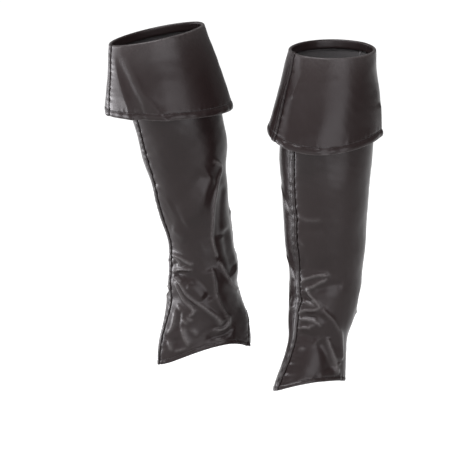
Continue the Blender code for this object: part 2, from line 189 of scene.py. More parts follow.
LEFT_FOLDS = (
    # over the shin, from the front seam
    (1, 2.5, ((2, 244), (8, 249), (20, 253), (40, 252))),
    (-1.2, 8, ((4, 266), (22, 268), (44, 264))),
    (1, 2.5, ((2, 284), (7, 289), (14, 293))),
    (-1.8, 10, ((0, 318), (25, 326), (54, 324))),
    # above the instep
    (2.2, 3.2, ((1, 355), (5, 346), (15, 341), (29, 337), (41, 336), (50, 337))),
    (3, 3.4, (
        (47, 341), (41, 344), (32, 348), (24, 353), (18, 356), (15, 360), (17, 365), (22, 370),
        (29, 375), (34, 380), (36, 384), (33, 387), (26, 389), (12, 390), (6, 392), (3, 396),
        (2, 402),
    )),
    (-2.6, 4.5, ((4, 368), (12, 368), (20, 373), (28, 379))),
    (-1.8, 7, ((24, 359), (34, 357), (48, 353), (74, 350))),
    (2, 3, ((5, 375), (14, 378), (24, 381), (34, 382))),
    (-2.6, 5, ((8, 396), (21, 397), (34, 397), (45, 401), (55, 407))),
    (2.6, 3.2, ((2, 403), (16, 403), (24, 404), (32, 406), (39, 410), (46, 415))),
    (-1.2, 3, ((6, 410), (18, 410), (26, 408))),
    (2.2, 2.8, ((1, 418), (12, 416), (21, 416), (28, 412), (37, 410))),
    (-3, 6, ((2, 424), (16, 427), (32, 430), (45, 432))),
    # the fold that hangs over the outer ankle
    (4.2, 8, (
        (38, 384), (49, 394), (62, 404), (73, 415), (86, 427), (93, 442), (97, 470),
    ), -0.3),
    (3.4, 3.2, (
        (59, 429), (66, 440), (72, 450), (77, 459), (82, 470), (86, 481), (88, 490),
    ), 0.2),
    (-3.4, 7, ((47, 434), (58, 449), (69, 464), (79, 484))),
    (1.8, 2.6, ((83, 475), (90, 472), (98, 472))),
    # over the instep
    (2, 4, ((8, 450), (17, 447), (26, 449))),
    # the wearer's right side
    (1.4, 3, ((-44, 203), (-30, 222), (-13, 247))),
    (1.4, 3, ((-44, 308), (-32, 326), (-16, 350))),
    (1.2, 2.6, ((-10, 384), (-24, 393), (-38, 401))),
    (-1.8, 6, ((-4, 366), (-18, 370), (-40, 378))),
    (2, 6, ((-64, 350), (-88, 344), (-116, 355))),
    (-2.2, 9, ((-60, 374), (-84, 380), (-118, 371))),
    (2, 6, ((-64, 402), (-92, 395), (-125, 406))),
    (-1.6, 9, ((-56, 428), (-74, 431), (-92, 424))),
    (3, 7, ((-70, 425), (-95, 446), (-104, 478))),
    # behind
    (-2.6, 9, ((118, 380), (150, 372), (182, 381))),
    (2.4, 6, ((125, 398), (160, 404), (200, 394))),
    (-2.6, 9, ((140, 424), (172, 419), (205, 427))),
)

RIGHT_FOLDS = (
    # down the calf and over the wearer's left side
    (3, 3.6, (
        (99, 206), (112, 214), (120, 224), (114, 236), (108, 248), (103, 260), (98, 275), (94, 292),
        (90, 308), (87, 322), (88, 334), (91, 346), (93, 358),
    )),
    (-2.5, 9, ((126, 248), (112, 285), (105, 330))),
    (-4.5, 13, ((122, 316), (123, 350), (134, 390))),
    (3.8, 3.6, ((96, 360), (102, 374), (109, 388), (118, 402), (135, 414), (150, 420))),
    (3, 13, ((40, 290), (68, 278), (90, 242), (104, 230))),
    (-2.4, 12, ((24, 264), (55, 250), (86, 218))),
    (1.8, 9, ((14, 297), (28, 306), (44, 319))),
    # beside the front seam
    (1, 2.2, ((1, 194), (6, 197), (12, 201))),
    (1, 2.2, ((1, 228), (7, 231), (14, 236))),
    (1, 2.2, ((1, 270), (8, 273), (15, 279))),
    # over the instep
    (3, 4, ((1, 340), (14, 342), (27, 346), (35, 350), (45, 355), (53, 361))),
    (2.2, 2.6, ((4, 341), (9, 343), (19, 348), (25, 355), (29, 361))),
    (-2, 4, ((6, 354), (14, 355), (20, 358))),
    (3, 3.2, ((4, 368), (8, 367), (24, 364), (39, 364), (52, 367))),
    (-4, 7.5, ((8, 371), (30, 373), (50, 378), (64, 388), (74, 400), (82, 418))),
    (3.6, 3.8, (
        (5, 374), (15, 378), (22, 382), (28, 387), (33, 394), (38, 401), (47, 410), (55, 417),
        (62, 422), (69, 429), (76, 438), (81, 446), (84, 454), (85, 464),
    ), 0.2),
    (3.4, 9.5, ((38, 385), (46, 392), (56, 402), (68, 415))),
    (3, 3.2, (
        (12, 380), (18, 388), (24, 398), (31, 409), (39, 416), (46, 422), (50, 427), (50, 431),
        (45, 435), (43, 440),
    )),
    (-2, 4, ((40, 410), (50, 419), (58, 427))),
    (2.2, 2.8, ((29, 435), (37, 442), (45, 449))),
    (2, 2.6, ((37, 433), (44, 440), (50, 447))),
    (1.6, 3, ((45, 452), (53, 461), (58, 470))),
    (2.6, 3, ((33, 446), (37, 456), (41, 466), (45, 475), (47, 483)), 0.2),
    (2.2, 3, ((24, 484), (32, 483), (40, 482), (47, 481))),
    (-2.2, 5, ((24, 462), (30, 472), (36, 477))),
    (2.8, 5, ((15, 420), (16, 432), (17, 442), (15, 451), (11, 459))),
    (-1.8, 4, ((24, 424), (26, 440), (25, 456))),
    (2, 3.2, ((14, 463), (19, 474), (25, 486))),
    (1.4, 2.5, ((14, 414), (22, 420), (30, 427))),
    # over the outer ankle
    (4, 7.5, ((82, 366), (85, 385), (87, 404), (91, 428), (94, 445), (98, 458)), -0.5),
    (3, 3.2, ((73, 464), (82, 467), (88, 467), (94, 463), (98, 456), (98, 446))),
    (-2.8, 5, ((64, 474), (84, 476), (104, 467))),
    (1.4, 3, ((74, 478), (82, 483), (90, 491))),
    # the wearer's right side
    (6, 16, ((-28, 400), (-31, 462), (-28, 560))),
    (1.6, 4, ((-2, 350), (-35, 357), (-72, 348))),
    (-2, 8, ((-4, 372), (-40, 378), (-84, 386))),
    (1.8, 4, ((-8, 391), (-48, 402), (-86, 428))),
    (2.5, 6, ((-84, 420), (-96, 445), (-94, 476))),
    (-2.5, 9, ((-58, 436), (-68, 460), (-76, 490))),
    (2.8, 6, ((-98, 338), (-122, 364), (-148, 402))),
    (2.2, 7, ((-110, 240), (-98, 280), (-92, 325))),
    # behind
    (2.2, 7, ((150, 298), (180, 305), (207, 297))),
    (-2.6, 9, ((164, 348), (186, 354), (215, 344))),
)

LEFT_CUFF_FOLDS = (
    (4, 6, ((8, 22), (6, 34), (2, 54), (-2, 74))),
    (-1.6, 11, ((6, 45), (12, 92), (18, 175))),
    (1.2, 15, ((30, 40), (34, 92), (40, 185))),
    (3, 10, ((123, 80), (126, 120), (128, 175))),
    (3, 14, ((-70, 30), (-76, 80), (-80, 160))),
    (-3, 14, ((-100, 25), (-106, 80), (-102, 165))),
    (3, 14, ((180, 30), (177, 82), (186, 165))),
    (-2.5, 10, ((150, 35), (154, 80), (152, 160))),
)

RIGHT_CUFF_FOLDS = (
    (3.6, 8.6, ((3, 12), (7, 34), (18, 72), (24, 98), (28, 132)), -0.2),
    (-4.2, 7.5, ((9, 12), (14, 34), (26, 70), (33, 96), (38, 132))),
    (4.6, 8.6, ((22, 12), (28, 34), (38, 70), (48, 96), (62, 132)), -0.2),
    (1.5, 14, ((72, 20), (64, 75), (58, 160))),
    (3, 13, ((-48, 25), (-54, 65), (-50, 125))),
    (-3, 13, ((-78, 25), (-82, 65), (-78, 130))),
    (3, 14, ((172, 30), (178, 80), (170, 165))),
    (-2.5, 12, ((204, 35), (208, 80), (202, 150))),
)

LEFT = Cover(
    name="left",
    place=(96.5, 95.0, -10.5),
    yaw=14.0,
    lean=0.0,
    shaft=LEFT_SHAFT,
    cuff=Flare(79, 89, 86, 15, 1, 1),
    cuff_turn=-15.0,
    rim=Edge(2, 9, 44),
    cuff_hem=Edge(132, 15, 58, 6, 30),
    hem=Edge(500.5, 5, -15, 6.5, -38),
    vent=Vent(451, 40),
    folds=[Fold(*row) for row in LEFT_FOLDS],
    cuff_folds=[Fold(*row) for row in LEFT_CUFF_FOLDS],
    kinks=(Kink(252, 1.5, 9), Kink(290, -1.2, 12), Kink(335, -2.5, 22), Kink(376, 4.5, 9)),
    seed=3,
)

RIGHT = Cover(
    name="right",
    place=(-96.5, -95.5, 10.5),
    yaw=-9.0,
    lean=12.6,
    shaft=RIGHT_SHAFT,
    cuff=Flare(85, 99, 95, 7, 1, 1),
    cuff_turn=-6.0,
    rim=Edge(4.5, -1.5, -20),
    cuff_hem=Edge(123, 18.5, 150),
    hem=Edge(502.5, 11, 170, 11, -5),
    vent=Vent(456, 48),
    folds=[Fold(*row) for row in RIGHT_FOLDS],
    cuff_folds=[Fold(*row) for row in RIGHT_CUFF_FOLDS],
    kinks=(Kink(245, 1.2, 10), Kink(285, -1.0, 12), Kink(330, 1.5, 12)),
    seed=8,
)


def wrapped(turn):
    """The angle from the front seam, from -180 to 180 degrees."""
    return (turn + 180.0) % 360.0 - 180.0


def eased(share):
    share = np.clip(share, 0.0, 1.0)
    return share * share * (3.0 - 2.0 * share)


def hill(distance, reach):
    """A smooth hill: 1 in its middle, and about a third at its reach."""
    return np.exp(-((distance / reach) ** 2))


def columns_at(sections, drop):
    """The sections' columns after the first at each drop, on smooth curves through the rows."""
    table = np.array(sections, float)
    knots, values = table[:, 0], table[:, 1:]
    slopes = np.gradient(values, knots, axis=0)
    drop = np.clip(drop, knots[0], knots[-1])
    i = np.clip(np.searchsorted(knots, drop) - 1, 0, len(knots) - 2)
    span = knots[i + 1] - knots[i]
    t = ((drop - knots[i]) / span)[..., None]
    span = span[..., None]
    return np.moveaxis(
        values[i] * (1 + 2 * t) * (1 - t) ** 2
        + slopes[i] * span * t * (1 - t) ** 2
        + values[i + 1] * t * t * (3 - 2 * t)
        + slopes[i + 1] * span * t * t * (t - 1),
        -1,
        0,
    )


def edge_drop(edge, turn):
    """How far below the top fold's level an edge lies at each angle."""
    return (
        edge.drop
        + edge.tilt * np.cos(np.radians(turn - edge.tilt_at))
        + edge.sag * np.cos(np.radians(2 * (turn - edge.sag_at)))
    )


def smooth_course(course, steps=5):
    """Points along a curve through the course's own points, a few for each stretch."""
    p = np.array(course, float)
    p = np.concatenate([[2 * p[0] - p[1]], p, [2 * p[-1] - p[-2]]])
    t = np.linspace(0.0, 1.0, steps, endpoint=False)[:, None]
    curve = [
        0.5
        * (
            2 * p[i]
            + (p[i + 1] - p[i - 1]) * t
            + (2 * p[i - 1] - 5 * p[i] + 4 * p[i + 1] - p[i + 2]) * t**2
            + (3 * p[i] - p[i - 1] - 3 * p[i + 1] + p[i + 2]) * t**3
        )
        for i in range(1, len(p) - 2)
    ]
    return np.concatenate(curve + [p[-2:-1]])


def beside_course(fold, turn, drop, radius):
    """Each point's distance from a fold's course, the side that it lies on, and how far the fold
    has risen there from its ends."""
    path = smooth_course(fold.course)
    shape = np.broadcast(turn, drop).shape
    nearest = np.full(shape, np.inf)
    along = np.zeros(shape)
    side = np.zeros(shape)
    place = 0.0
    for k in range(len(path) - 1):
        across = np.radians(wrapped(turn - path[k, 0])) * radius
        down = drop - path[k, 1]
        step_across = np.radians(path[k + 1, 0] - path[k, 0]) * radius
        step_down = path[k + 1, 1] - path[k, 1]
        length = np.hypot(step_across, step_down)
        share = np.clip((across * step_across + down * step_down) / length**2, 0.0, 1.0)
        away = np.hypot(across - share * step_across, down - share * step_down)
        closer = away < nearest
        along = np.where(closer, place + share * length, along)
        side = np.where(closer, step_across * down - step_down * across, side)
        nearest = np.minimum(nearest, away)
        place = place + length
    taper = eased(along / FOLD_END) * eased((place - along) / FOLD_END)
    return nearest, np.sign(side), taper


def fold_height(folds, turn, drop, radius):
    """How far the folds push the cloth out at each point, in millimetres."""
    push = np.zeros(np.broadcast(turn, drop).shape)
    for fold in folds:
        nearest, side, taper = beside_course(fold, turn, drop, radius)
        reach = fold.reach * (1 - fold.steep * side)
        if fold.height > 0:
            crest = CREST_SHARE if fold.reach < BROAD_REACH else 0.0
            shape = (1 - crest) * (1 + (nearest / reach) ** 2) ** -1.5
            shape = shape + crest * hill(nearest, CREST_REACH)
        else:
            shape = hill(nearest, reach)
        push += fold.height * taper * shape
    return push


def crest_wear_and_highlight(folds, turn, drop, radius):
    """How far the crests of the folds are painted paler, from 0 to 1: partly rubbed cloth, partly a
    painted highlight.
    """
    worn_and_highlit = np.zeros(np.broadcast(turn, drop).shape)
    for fold in folds:
        if 0 < fold.height and fold.reach < BROAD_REACH:
            nearest, _, taper = beside_course(fold, turn, drop, radius)
            rub_and_highlight = min(fold.height / FULL_WEAR_AND_HIGHLIGHT_HEIGHT, 1.0) * min(SHARP_REACH / fold.reach, 1.0)
            worn_and_highlit = np.maximum(worn_and_highlit, rub_and_highlight * taper * hill(nearest, CREST_WEAR_AND_HIGHLIGHT_REACH))
    return worn_and_highlit


def waves(seed, turn, drop, uneven):
    """An uneven surface of height about 1."""
    rng = np.random.default_rng(seed)
    total = 0.0
    for _ in range(SWELL_COUNT):
        length = rng.uniform(uneven.short, uneven.long)
        heading = rng.uniform(0, math.pi)
        cycles = np.round(2 * math.pi * LEG_RADIUS / length * math.cos(heading))
        phase = rng.uniform(0, 2 * math.pi)
        total = total + np.cos(
            cycles * np.radians(turn) + 2 * math.pi * drop / length * math.sin(heading) + phase
        )
    return total / math.sqrt(SWELL_COUNT / 2)


def ripple(seed, place, uneven):
    """An uneven line of height about 1 along a seam."""
    rng = np.random.default_rng(seed)
    total = 0.0
    for _ in range(RIPPLE_COUNT):
        length = rng.uniform(uneven.short, uneven.long)
        total = total + np.cos(2 * math.pi * place / length + rng.uniform(0, 2 * math.pi))
    return total / math.sqrt(RIPPLE_COUNT / 2)


def around(section, turn, drop, out):
    """The points of a level section at each angle, moved out, in millimetres."""
    side, front, back, forward, front_seam, back_seam = section[:6]
    angle = np.radians(turn)
    from_front = np.abs(wrapped(turn))
    depth = np.where(from_front < 90.0, front, back)
    out = out + front_seam * hill(from_front, SEAM_SPREAD)
    out = out + back_seam * hill(180.0 - from_front, SEAM_SPREAD)
    x = (side + out) * np.sin(angle)
    y = -(depth + out) * np.cos(angle) - forward
    return np.stack([x, y, np.broadcast_to(-drop, x.shape)], axis=-1)


def twisted(cover, grid):
    """The grid turned about the leg's axis by the twist at each height."""
    twist = np.radians(columns_at(cover.shaft, -grid[..., 2])[6])
    x = grid[..., 0] * np.cos(twist) - grid[..., 1] * np.sin(twist)
    y = grid[..., 0] * np.sin(twist) + grid[..., 1] * np.cos(twist)
    return np.stack([x, y, grid[..., 2]], axis=-1)


def last_turn(cover, drop, side):
    """How far round from the front seam a panel reaches: to the back seam or the vent."""
    open_share = np.clip((drop - cover.vent.top) / (cover.hem.drop - cover.vent.top), 0.0, None)
    return 180.0 - np.degrees(SEAM_GAP / 2 / side) - cover.vent.spread * open_share**VENT_CURVE


def hem_relief(seed, away, place, height, full=HEM_SWELL):
    """The face of a turned-up hem, by the distance from its edge: a stitched groove, and a
    swelling below it that the thread gathers unevenly."""
    line = height - STITCH_INSET
    groove = -HEM_GROOVE * hill(away - line, HEM_GROOVE_REACH)
    swell = np.sin(np.pi * np.clip(away / line, 0.0, 1.0))
    uneven = full + HEM_GATHERS.height * ripple(seed, place, HEM_GATHERS)
    above = HEM_PUCKERS.height * np.exp(-np.clip(away - line, 0, None) / HEM_PUCKER_REACH)
    above = above * ripple(seed + 1, place, HEM_PUCKERS)
    return groove + swell * uneven + np.where(away > line, above, 0.0)


def seam_relief(seed, away, drop, depth):
    """The face of a panel beside a seam, which rolls in, with small puckers."""
    at_seam = hill(away, SEAM_ROLL)
    pucker = SEAM_PUCKERS.height * np.exp(-away / SEAM_PUCKER_REACH) * (1 - at_seam)
    return pucker * ripple(seed, drop, SEAM_PUCKERS) - depth * at_seam


def kinked(cover, turn, drop):
    """The angle to which the front seam's kinks draw the cloth."""
    shift = sum(kink.shift * hill(drop - kink.drop, kink.reach) for kink in cover.kinks)
    return turn + shift * hill(wrapped(turn), KINK_SPREAD)


def shaft_skin(cover, turn, drop):
    """Points of the shaft's face, in the cover's own frame."""
    material_turn = turn
    turn = kinked(cover, turn, drop)
    section = columns_at(cover.shaft, drop)
    side = section[0]
    out = fold_height(cover.folds, turn, drop, side)
    out = out + SHAFT_SWELLS.height * waves(cover.seed, turn, drop, SHAFT_SWELLS)
    out = out + SMALL_SWELLS.height * waves(cover.seed + 1, turn, drop, SMALL_SWELLS)
    from_front = np.abs(wrapped(material_turn))
    to_front = np.radians(from_front) * side
    to_back = np.radians(np.clip(last_turn(cover, drop, side) - from_front, 0, None)) * side
    sewn = drop < cover.vent.top
    left_half = wrapped(material_turn) > 0
    front_relief = seam_relief(cover.seed + 2, to_front, drop, FRONT_SEAM_DEPTH)
    out = out + np.where(left_half, front_relief, 0.0)
    back_seed = cover.seed + 3
    vent_place = drop + np.where(left_half, 0.0, VENT_SHIFT)
    out = out + np.where(
        sewn,
        seam_relief(back_seed, to_back, drop, BACK_SEAM_DEPTH),
        hem_relief(back_seed, to_back, vent_place, VENT_TURN_UP),
    )
    to_hem = np.clip(edge_drop(cover.hem, turn) - drop, 0, None)
    out = out + hem_relief(cover.seed + 4, to_hem, np.radians(turn) * side, SHAFT_TURN_UP)
    return twisted(cover, around(section, turn, drop, out))


def cuff_skin(cover, turn, down):
    """Points of the cuff's face. Down runs from -1 at its edge inside the shaft to 0 where it
    starts over the fold, to 1 past the fold, and on to 2 at its hem."""
    rim = edge_drop(cover.rim, turn)
    level = rim + ROLL
    inside = np.clip(-down, 0.0, 1.0)
    swing = np.pi * np.clip(down, 0.0, 1.0)
    share = np.clip(down - 1.0, 0.0, 1.0)
    hem = edge_drop(cover.cuff_hem, turn)
    drop = level + share * (hem - level)
    start = columns_at(cover.shaft, level)[:6]
    end = np.array(cover.cuff, float).reshape((6,) + (1,) * np.ndim(start[0]))
    section = start + share * (end - start)
    shell_out = -SOLID_CLOTH / 2 - ROLL * np.cos(swing)
    push = share * fold_height(cover.cuff_folds, turn, drop, section[0])
    swells = waves(cover.seed + 5, turn, drop, CUFF_SWELLS)
    push = push + eased(share * 4) * CUFF_SWELLS.height * swells
    push = push + SMALL_SWELLS.height * waves(cover.seed + 6, turn, drop, SMALL_SWELLS)
    push = push + eased(share * 8) * hem_relief(
        cover.seed + 7, hem - drop, np.radians(turn) * section[0], CUFF_TURN_UP, CUFF_HEM_SWELL
    )
    from_seam = wrapped(turn - cover.cuff_turn)
    to_front = np.radians(np.abs(from_seam)) * section[0]
    to_back = np.radians(180.0 - np.abs(from_seam)) * section[0]
    front_relief = seam_relief(cover.seed + 8, to_front, drop, FRONT_SEAM_DEPTH)
    push = push + np.where(from_seam > 0, front_relief, 0.0)
    push = push + seam_relief(cover.seed + 9, to_back, drop, BACK_SEAM_DEPTH)
    z = drop - ROLL * np.sin(swing) + inside * (FACING - ROLL)
    return twisted(cover, around(section, turn, z, shell_out + push))


def unit(vectors):
    return vectors / np.linalg.norm(vectors, axis=-1, keepdims=True)


def grid_normals(grid, side_sign):
    """Outward normals of a grid whose rows run down and whose columns run from the front seam."""
    down, across = np.gradient(grid, axis=0), np.gradient(grid, axis=1)
    return unit(np.cross(down, across) * side_sign)


# The small steps by which a skin's slopes are measured: degrees round it, and its own way down.
TURN_PROBE = 0.3
DOWN_PROBE = {shaft_skin: 0.5, cuff_skin: 0.004}


def skin_normals(skin, cover, turn, down):
    """Outward normals anywhere on a skin."""
    step = DOWN_PROBE[skin]
    across = skin(cover, turn + TURN_PROBE, down) - skin(cover, turn - TURN_PROBE, down)
    downward = skin(cover, turn, down + step) - skin(cover, turn, down - step)
    return unit(np.cross(downward, across))


def edge_inset(away, radius):
    """How far a face draws in near an edge that is rounded with that radius."""
    near = np.clip(radius - away, 0.0, radius)
    return EDGE_ROUND * (radius - np.sqrt(radius**2 - near**2))


def world_points(cover, grid):
    """A cover's points in the shared frame, in metres."""
    lean, yaw = math.radians(cover.lean), math.radians(cover.yaw)
    x, y, z = np.moveaxis(grid, -1, 0)
    y, z = y * math.cos(lean) - z * math.sin(lean), y * math.sin(lean) + z * math.cos(lean)
    x, y = x * math.cos(yaw) - y * math.sin(yaw), x * math.sin(yaw) + y * math.cos(yaw)
    return (np.stack([x, y, z], axis=-1) + np.array(cover.place)) * MM


def edge_columns(width, step):
    """Distances across a panel: close at both edges, and even steps between."""
    near = np.array(EDGE_STEPS)
    middle = np.arange(near[-1] + step, width - near[-1] - step / 2, step)
    return np.concatenate([near, middle, width - near[::-1]])


def make_mesh(name, points, materials, faces, inner_faces=()):
    """A mesh object. Faces in the second list take the second material."""
    mesh = bpy.data.meshes.new(name)
    all_faces = np.concatenate([np.array(f, np.int32).reshape(-1, 4) for f in (faces, inner_faces)])
    mesh.vertices.add(len(points))
    mesh.vertices.foreach_set("co", points.astype(np.float32).ravel())
    mesh.loops.add(all_faces.size)
    mesh.loops.foreach_set("vertex_index", all_faces.ravel())
    mesh.polygons.add(len(all_faces))
    mesh.polygons.foreach_set("loop_start", np.arange(0, all_faces.size, 4, dtype=np.int32))
    mesh.polygons.foreach_set("use_smooth", np.ones(len(all_faces), bool))
    slots = np.zeros(len(all_faces), np.int32)
    slots[len(all_faces) - len(inner_faces) :] = 1
    mesh.polygons.foreach_set("material_index", slots)
    mesh.update(calc_edges=True)
    mesh.validate()
    for material in materials:
        mesh.materials.append(material)
    obj = bpy.data.objects.new(name, mesh)
    bpy.context.scene.collection.objects.link(obj)
    return obj


def wall(cover, name, outer, inner, side_sign, worn_and_highlit, materials, backing=None):
    """A closed shell between two grids, painted paler on its face for rubbed cloth and for painted
    highlights along fold crests, by the shares given. Backing marks the inner cells that take the
    second material, the cloth's back."""
    rows, columns = outer.shape[:2]
    count = rows * columns
    index = np.arange(count).reshape(rows, columns)
    a, b, c, d = index[:-1, :-1], index[1:, :-1], index[1:, 1:], index[:-1, 1:]
    face = np.stack([a, b, c, d], axis=-1).reshape(-1, 4)
    inside = np.stack([a, d, c, b], axis=-1).reshape(-1, 4) + count
    loop = np.concatenate([index[0], index[1:, -1], index[-1, -2::-1], index[-2:0:-1, 0]])
    after = np.roll(loop, -1)
    border = np.stack([loop, after, after + count, loop + count], axis=-1)
    if backing is None:
        backing = np.zeros((rows - 1, columns - 1), bool)
    marked = backing.ravel()
    plain = np.concatenate([face, border, inside[~marked]])
    shown_back = inside[marked]
    if side_sign < 0:
        plain, shown_back = plain[:, ::-1], shown_back[:, ::-1]
    points = world_points(cover, np.concatenate([outer.reshape(-1, 3), inner.reshape(-1, 3)]))
    obj = make_mesh(f"{cover.name}_{name}_cloth", points, materials, plain, shown_back)
    # The face is painted paler by these shares: rubbed cloth, and painted highlights along fold
    # crests.
    wear_and_highlight = obj.data.attributes.new("wear_and_highlight", "FLOAT", "POINT")
    worn_and_highlit = np.concatenate([np.clip(worn_and_highlit, 0.0, 1.0).ravel(), np.zeros(inner.size // 3)])
    wear_and_highlight.data.foreach_set("value", worn_and_highlit.astype(np.float32))
    return obj


def cut_size(face, turn_ups):
    """The width, length and area of a panel's cut, in metres, with its allowances."""
    across = np.linalg.norm(np.diff(face, axis=1), axis=-1)
    down = np.linalg.norm(np.diff(face, axis=0), axis=-1)
    widest, longest = across.sum(axis=1).max(), down.sum(axis=0).max()
    area = (across[:-1] * down[:, :-1]).sum()
    sides = 2 * SEAM_ALLOWANCE
    whole = area + sides * longest + turn_ups * widest + sides * turn_ups
    return ((widest + sides) * MM, (longest + turn_ups) * MM), whole * MM**2


def shaft_grid(cover, side_sign):
    """The angles and drops of a shaft panel's rows and columns, from its top edge to its hem."""
    length = cover.hem.drop
    places, place = [], 0.0
    for low, step in SHAFT_STEPS:
        while place < min(low, length - EDGE_STEPS[-1] - step / 2):
            places.append(place)
            place += step
    places += [length - step for step in EDGE_STEPS[::-1]]
    shares = np.array(places)[:, None] / length
    half = columns_at(cover.shaft, shares * length)[0]
    first, last = np.degrees(SEAM_GAP / 2 / half), last_turn(cover, shares * length, half)
    width = math.radians(180) * LEG_RADIUS
    turns = side_sign * (first + edge_columns(width, COLUMN_STEP) / width * (last - first))
    top = edge_drop(cover.rim, turns) + ROLL
    hem = edge_drop(cover.hem, turns)
    from_hem = (1 - shares) * length
    near_hem = eased((from_hem - EDGE_STEPS[-1]) / HEM_BLEND)
    drops = top + shares * (hem - top)
    return turns, drops * near_hem + (hem - from_hem) * (1 - near_hem)


def layer(turn_up, away):
    """How much of a turned-up hem's second layer there is, by the distance from its edge."""
    return eased((turn_up - away) / LAYER_END)


def cloth_panel(cover, name, face, side_sign, edge, turned, worn_and_highlit, looks):
    """A panel under its face: rounded at its edges, and thicker where it is turned up."""
    normal = grid_normals(face, side_sign)
    inset = edge_inset(edge, CLOTH / 2)[..., None]
    depth = (CLOTH + HEM_LAYER * turned)[..., None]
    outer, inner = face - normal * inset, face - normal * (depth - inset)
    backing = turned[:-1, :-1] < LAYER_SHOWS
    materials = looks["leatherette"], looks["backing"]
    return wall(cover, name, outer, inner, side_sign, worn_and_highlit, materials, backing)


def shaft_panel(cover, side, side_sign, looks):
    turns, drops = shaft_grid(cover, side_sign)
    face = shaft_skin(cover, turns, drops)
    half = columns_at(cover.shaft, drops)[0]
    to_back = np.radians(last_turn(cover, drops, half) - np.abs(turns)) * half
    to_hem = edge_drop(cover.hem, turns) - drops
    edge = np.minimum(to_back, to_hem)
    at_vent = np.where(drops > cover.vent.top, layer(VENT_TURN_UP, to_back), 0.0)
    turned = np.maximum(layer(SHAFT_TURN_UP, to_hem), at_vent)
    # Crest lines painted paler, as rubbed cloth and as a painted highlight, and the rubbed hem.
    worn_and_highlit = crest_wear_and_highlight(cover.folds, kinked(cover, turns, drops), drops, half)
    worn_and_highlit = worn_and_highlit + EDGE_WEAR * hill(to_hem, EDGE_WEAR_REACH)
    panel = cloth_panel(cover, f"shaft_{side}", face, side_sign, edge, turned, worn_and_highlit, looks)
    return panel, cut_size(face, SHAFT_TURN_UP + SEAM_ALLOWANCE)


def cuff_panel(cover, side, side_sign, looks):
    length = cover.cuff_hem.drop
    half = cover.cuff.side
    width = math.radians(180) * half
    shares = edge_columns(width, CUFF_STEP) / width
    first = math.degrees(SEAM_GAP / 2 / half)
    turns = side_sign * (first + shares * (180 - 2 * first)) + cover.cuff_turn
    places = np.arange(0.0, length - EDGE_STEPS[-1] - CUFF_STEP / 2, CUFF_STEP)
    places = np.concatenate([places, length - np.array(EDGE_STEPS[::-1])])
    down = np.concatenate(
        [np.linspace(-1, 0, 7)[:-1], np.linspace(0, 1, 15)[:-1], 1 + places / length]
    )
    turns, down = np.broadcast_arrays(turns[None, :], down[:, None])
    face = cuff_skin(cover, turns, down)
    to_back = width - np.radians(np.abs(turns - cover.cuff_turn)) * half
    to_hem = (2 - down) * (edge_drop(cover.cuff_hem, turns) - edge_drop(cover.rim, turns) - ROLL)
    to_facing = (down + 1) * (FACING - ROLL)
    edge = np.minimum(to_back, np.minimum(to_hem, to_facing))
    turned = layer(CUFF_TURN_UP, to_hem)
    at_top = hill(down - TOP_WEAR_PLACE, TOP_WEAR_REACH)
    worn_and_highlit = EDGE_WEAR * np.maximum(at_top, hill(to_hem, EDGE_WEAR_REACH))
    panel = cloth_panel(cover, f"cuff_{side}", face, side_sign, edge, turned, worn_and_highlit, looks)
    return panel, cut_size(face, CUFF_TURN_UP + SEAM_ALLOWANCE)


def strip_columns():
    inner = EDGE_STEPS[5]
    middle = np.arange(inner, STRIP_WIDTH - inner, STRIP_COLUMN)
    return np.concatenate([STRIP_EDGE, middle, STRIP_WIDTH - STRIP_EDGE[::-1]])


def to_strip_edge(across):
    return np.minimum(across, STRIP_WIDTH - across)


def strip_lift(cover, across, drop):
    """The height of the strip's face above the panel, across its width and along it."""
    to_edge = to_strip_edge(across)
    groove = -STRIP_GROOVE * hill(to_edge - STITCH_INSET, STRIP_GROOVE_REACH)
    between = np.clip((across - STITCH_INSET) / (STRIP_WIDTH - 2 * STITCH_INSET), 0, 1)
    swell = STRIP_SWELL * np.sin(np.pi * between)
    pucker = STRIP_PUCKERS.height * ripple(cover.seed + 11, drop, STRIP_PUCKERS)
    return STRIP_FACE + groove + swell + pucker - edge_inset(to_edge, STRIP_CLOTH / 2)


def strip_wander(cover, across, drop):
    """How far the strip's outer edge and its stitches stray from their line."""
    stray = STRIP_WANDER.height * ripple(cover.seed + 12, drop, STRIP_WANDER)
    return stray * (across > STRIP_WIDTH / 2)


